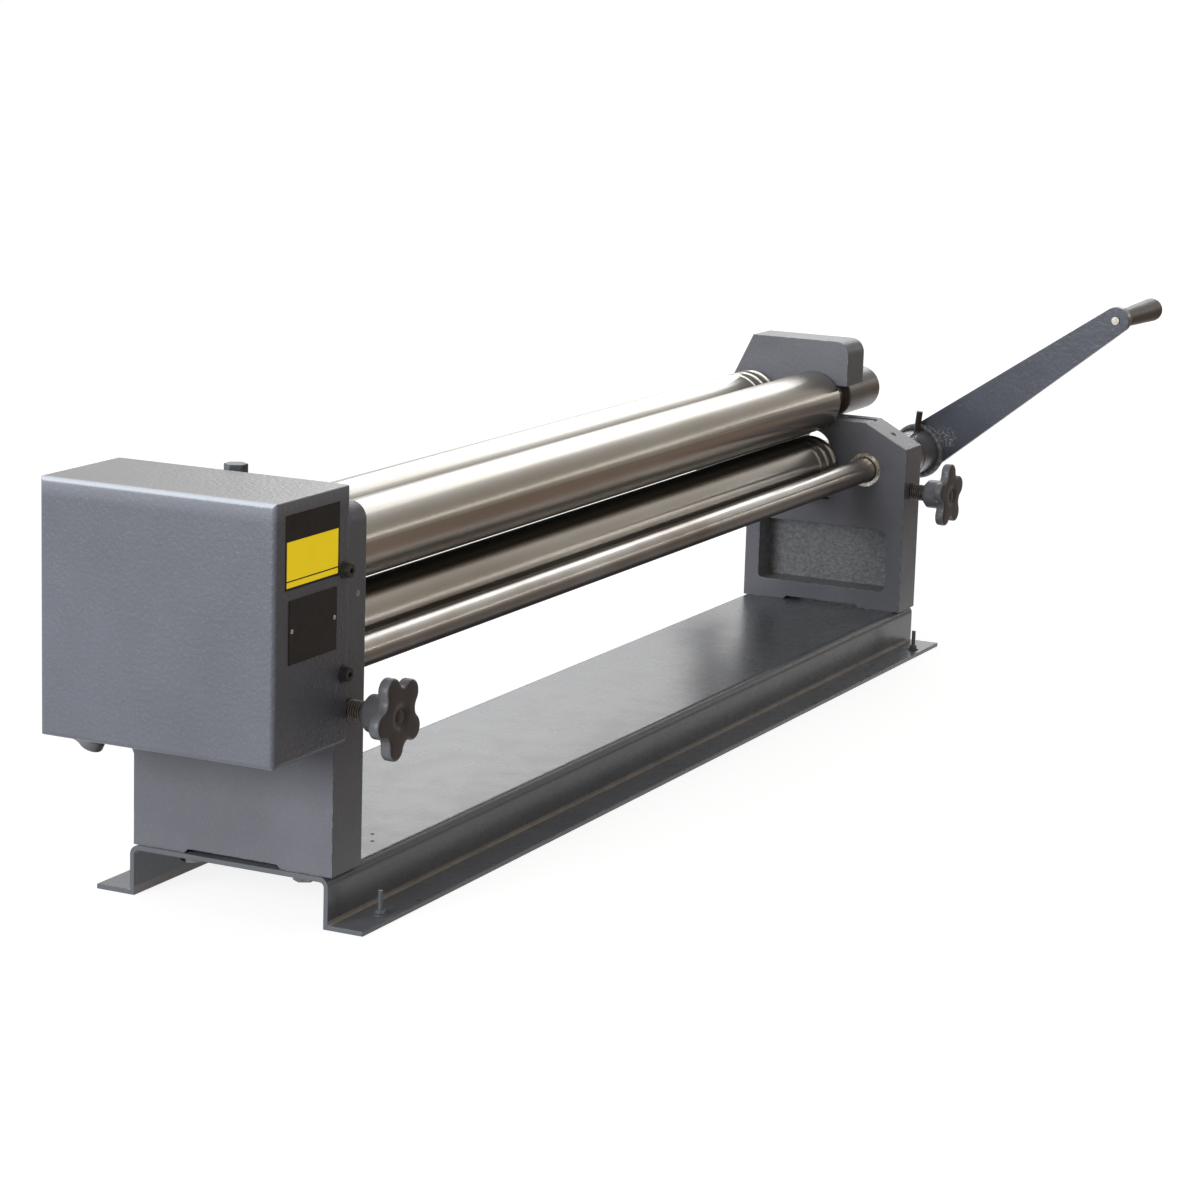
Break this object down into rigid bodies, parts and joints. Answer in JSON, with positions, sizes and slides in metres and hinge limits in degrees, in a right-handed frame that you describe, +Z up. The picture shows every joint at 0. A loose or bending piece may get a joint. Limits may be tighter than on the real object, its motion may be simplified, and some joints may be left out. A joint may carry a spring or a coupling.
{
  "type": "slip roll machine",
  "caption": "Hand cranked slip roll with three steel rolls between end frames on a hat section base, star knob adjusters and a gear cover.",
  "frame": {"origin": "centre of the base at the level that it stands on", "axes": "+X along the rolls towards the crank, +Y from the feed side to the back, +Z up"},
  "size_m": [1.8354, 0.5397, 0.4307],
  "materials": {
    "base_steel": "satin light grey sheet steel",
    "casting_paint": "smooth blue grey machine paint on cast iron",
    "cover_paint": "hammer textured blue grey paint",
    "bright_steel": "zinc plated steel",
    "roll_steel": "ground steel with an oil film",
    "machined_steel": "machined steel",
    "bronze": "bearing bronze",
    "gear_steel": "greased gear steel",
    "knob_plastic": "moulded dark grey plastic",
    "crank_paint": "gloss navy grey paint",
    "black_steel": "blackened steel",
    "rusted_steel": "lightly rusted steel",
    "grip_plastic": "dark brown moulded grip"
  },
  "bodies": {
    "root": {"base_channel": "base_steel", "left_frame": "casting_paint", "right_frame": "casting_paint", "frame_bolts": "bright_steel", "gear_cover": "cover_paint", "cover_screws": "bright_steel", "swivel_block": "machined_steel", "swivel_bush": "bronze", "pivot_bolt": "bright_steel", "pivot_locknut": "bright_steel", "shaft_bushes_left": "bronze", "shaft_bushes_right": "bronze", "oilers": "bright_steel"},
    "top_roll_set": {"top_roll": "roll_steel", "top_pinch_gear": "gear_steel", "top_drive_gear": "gear_steel", "top_gear_spacer": "bright_steel", "top_gear_key": "bright_steel", "top_gear_nut": "bright_steel"},
    "lower_carriage": {"bottom_block_left": "machined_steel", "bottom_block_right": "machined_steel", "bottom_bush_left": "bronze", "bottom_bush_right": "bronze"},
    "bottom_roll_set": {"bottom_roll": "roll_steel", "bottom_pinch_gear": "gear_steel", "bottom_gear_key": "bright_steel", "bottom_gear_nut": "bright_steel"},
    "left_wedge_set": {"lift_wedge_left": "machined_steel"},
    "right_wedge_set": {"lift_wedge_right": "machined_steel"},
    "left_front_knob_set": {"lift_screw_left": "bright_steel", "front_knob_left": "knob_plastic"},
    "right_front_knob_set": {"lift_screw_right": "bright_steel", "front_knob_right": "knob_plastic"},
    "rear_carriage": {"rear_block_left": "machined_steel", "rear_block_right": "machined_steel", "rear_bush_left": "bronze", "rear_bush_right": "bronze"},
    "rear_roll_set": {"rear_roll": "roll_steel"},
    "left_rear_knob_set": {"rear_screw_left": "bright_steel", "rear_knob_left": "knob_plastic"},
    "right_rear_knob_set": {"rear_screw_right": "bright_steel", "rear_knob_right": "knob_plastic"},
    "crank_set": {"drive_shaft": "machined_steel", "shaft_collar": "bright_steel", "drive_pinion": "gear_steel", "pinion_key": "bright_steel", "pinion_nut": "bright_steel", "crank_collar": "crank_paint", "crank": "crank_paint", "crank_pin": "black_steel", "grip_spindle": "bright_steel", "grip_washer": "rusted_steel"},
    "grip_set": {"grip": "grip_plastic"},
    "lock_sleeve_set": {"lock_sleeve": "casting_paint"}
  },
  "joints": [
    {"name": "crank_turn", "type": "hinge", "parent": "root", "child": "crank_set", "pos_m": [0.793, -0.0534, 0.224], "axis": [1, 0, 0], "continuous": true},
    {"name": "top_roll_turn", "type": "hinge", "parent": "root", "child": "top_roll_set", "pos_m": [0, 0.0193, 0.3047], "axis": [1, 0, 0], "continuous": true},
    {"name": "bottom_roll_lift", "type": "slide", "parent": "root", "child": "lower_carriage", "axis": [0, 0, 1], "range_m": [-0.0035, 0.006]},
    {"name": "bottom_roll_turn", "type": "hinge", "parent": "lower_carriage", "child": "bottom_roll_set", "pos_m": [0, 0.0193, 0.2232], "axis": [1, 0, 0], "continuous": true},
    {"name": "left_wedge_slide", "type": "slide", "parent": "root", "child": "left_wedge_set", "axis": [0, 1, 0], "range_m": [-0.00833, 0.01429]},
    {"name": "right_wedge_slide", "type": "slide", "parent": "root", "child": "right_wedge_set", "axis": [0, 1, 0], "range_m": [-0.00833, 0.01429]},
    {"name": "left_front_knob_turn", "type": "hinge", "parent": "left_wedge_set", "child": "left_front_knob_set", "pos_m": [-0.691, -0.13, 0.1984], "axis": [0, 1, 0], "range_deg": [-1200, 2057.14]},
    {"name": "right_front_knob_turn", "type": "hinge", "parent": "right_wedge_set", "child": "right_front_knob_set", "pos_m": [0.6935, -0.13, 0.1984], "axis": [0, 1, 0], "range_deg": [-1200, 2057.14]},
    {"name": "rear_roll_lift", "type": "slide", "parent": "root", "child": "rear_carriage", "axis": [0, -0.4321, 0.9018], "range_m": [-0.04, 0.01]},
    {"name": "rear_roll_turn", "type": "hinge", "parent": "rear_carriage", "child": "rear_roll_set", "pos_m": [0, 0.104, 0.2985], "axis": [1, 0, 0], "continuous": true},
    {"name": "left_rear_knob_turn", "type": "hinge", "parent": "rear_carriage", "child": "left_rear_knob_set", "pos_m": [-0.691, 0.104, 0.2985], "axis": [0, -0.4321, 0.9018], "range_deg": [-5760, 1440]},
    {"name": "right_rear_knob_turn", "type": "hinge", "parent": "rear_carriage", "child": "right_rear_knob_set", "pos_m": [0.6935, 0.104, 0.2985], "axis": [0, -0.4321, 0.9018], "range_deg": [-5760, 1440]},
    {"name": "grip_turn", "type": "hinge", "parent": "crank_set", "child": "grip_set", "pos_m": [0.95, -0.30812, 0.41387], "axis": [1, 0, 0], "continuous": true},
    {"name": "lock_sleeve_slide", "type": "slide", "parent": "root", "child": "lock_sleeve_set", "axis": [1, 0, 0], "range_m": [-0.036, 0.01]}
  ],
  "couplings": [
    {"joint": "top_roll_turn", "follows": "crank_turn", "ratio": -0.3871},
    {"joint": "bottom_roll_turn", "follows": "crank_turn", "ratio": 0.3871},
    {"joint": "left_wedge_slide", "follows": "bottom_roll_lift", "ratio": 2.381},
    {"joint": "right_wedge_slide", "follows": "bottom_roll_lift", "ratio": 2.381},
    {"joint": "left_front_knob_turn", "follows": "bottom_roll_lift", "rad_per_m": 5984},
    {"joint": "right_front_knob_turn", "follows": "bottom_roll_lift", "rad_per_m": 5984},
    {"joint": "left_rear_knob_turn", "follows": "rear_roll_lift", "rad_per_m": 2513.3},
    {"joint": "right_rear_knob_turn", "follows": "rear_roll_lift", "rad_per_m": 2513.3}
  ]
}
